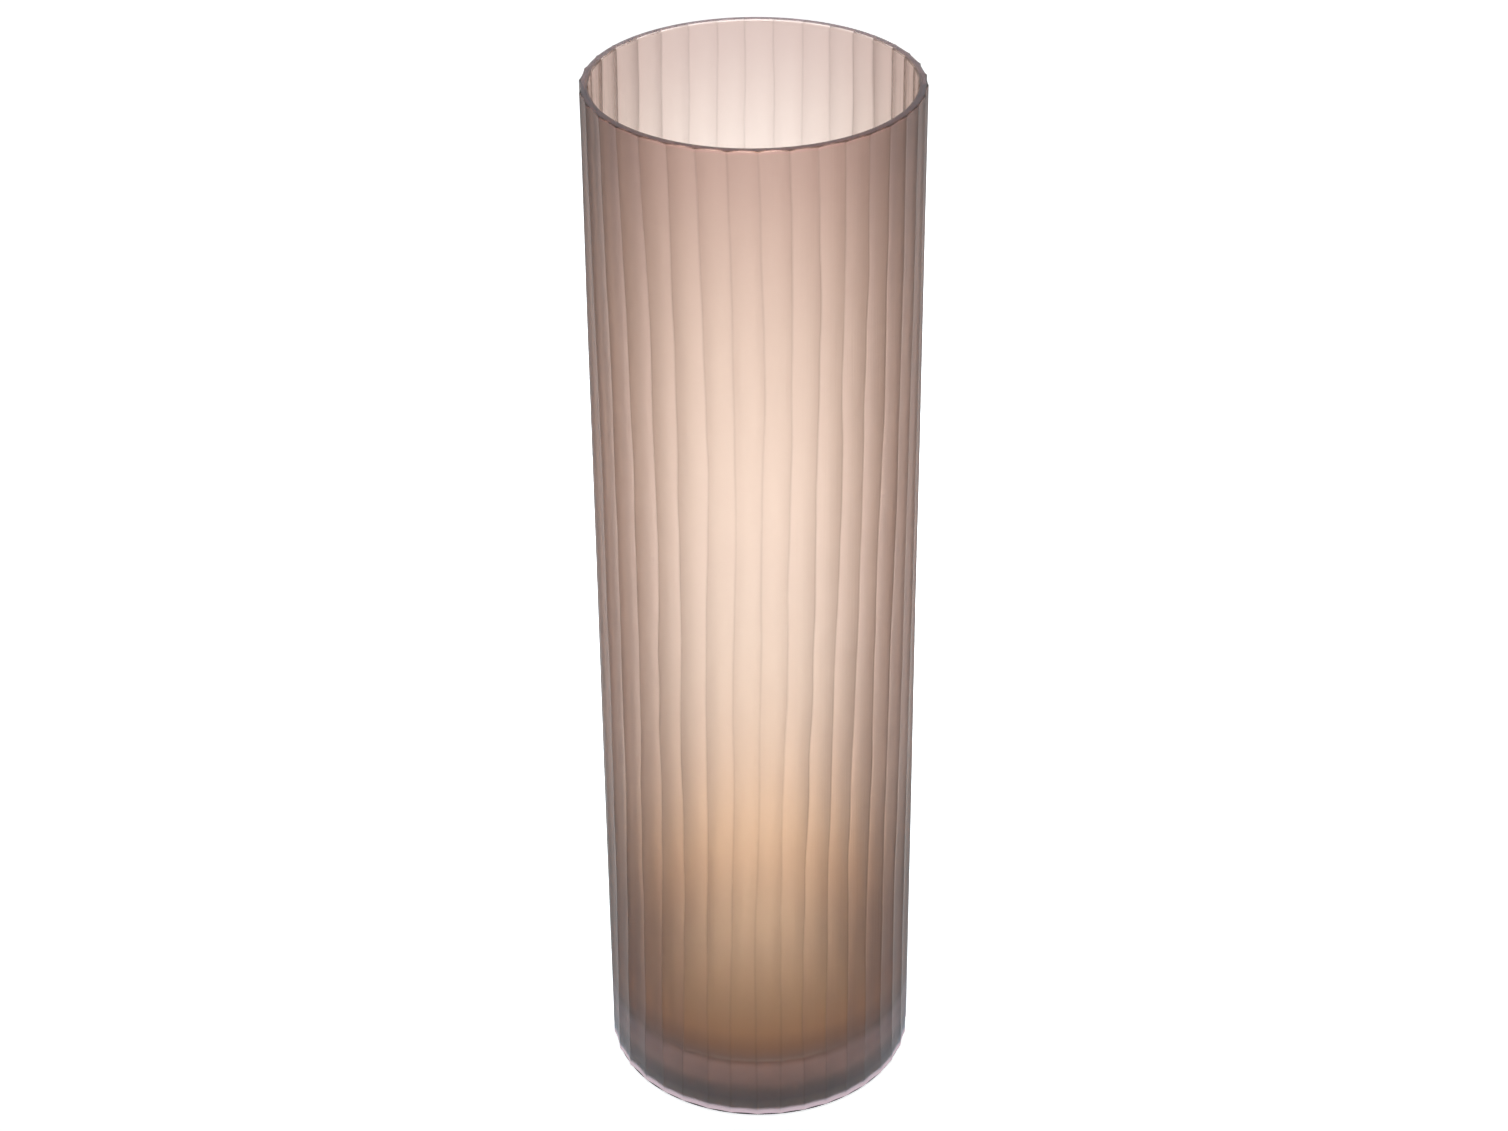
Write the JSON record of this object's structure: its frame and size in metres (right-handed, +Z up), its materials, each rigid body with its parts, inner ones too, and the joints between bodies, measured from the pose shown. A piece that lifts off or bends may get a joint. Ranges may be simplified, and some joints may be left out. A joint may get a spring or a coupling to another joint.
{
  "type": "cylinder vase",
  "caption": "Tall straight cylinder vase in two-layer glass, cut outside with full-height vertical flutes, with an open top and a thick solid foot.",
  "frame": {"origin": "centre of the circle that the foot stands on", "axes": "+Z up along the axis of the vase, towards the mouth"},
  "size_m": [0.175, 0.175, 0.6],
  "materials": {
    "smoke_glass": "smoke-grey glass with a mauve cast, satin cut flutes outside, polished rim and foot edge",
    "amber_glass": "pale amber-brown glass, smooth and glossy as blown"
  },
  "bodies": {
    "root": {"outer_casing": "smoke_glass", "inner_layer": "amber_glass"}
  },
  "joints": []
}
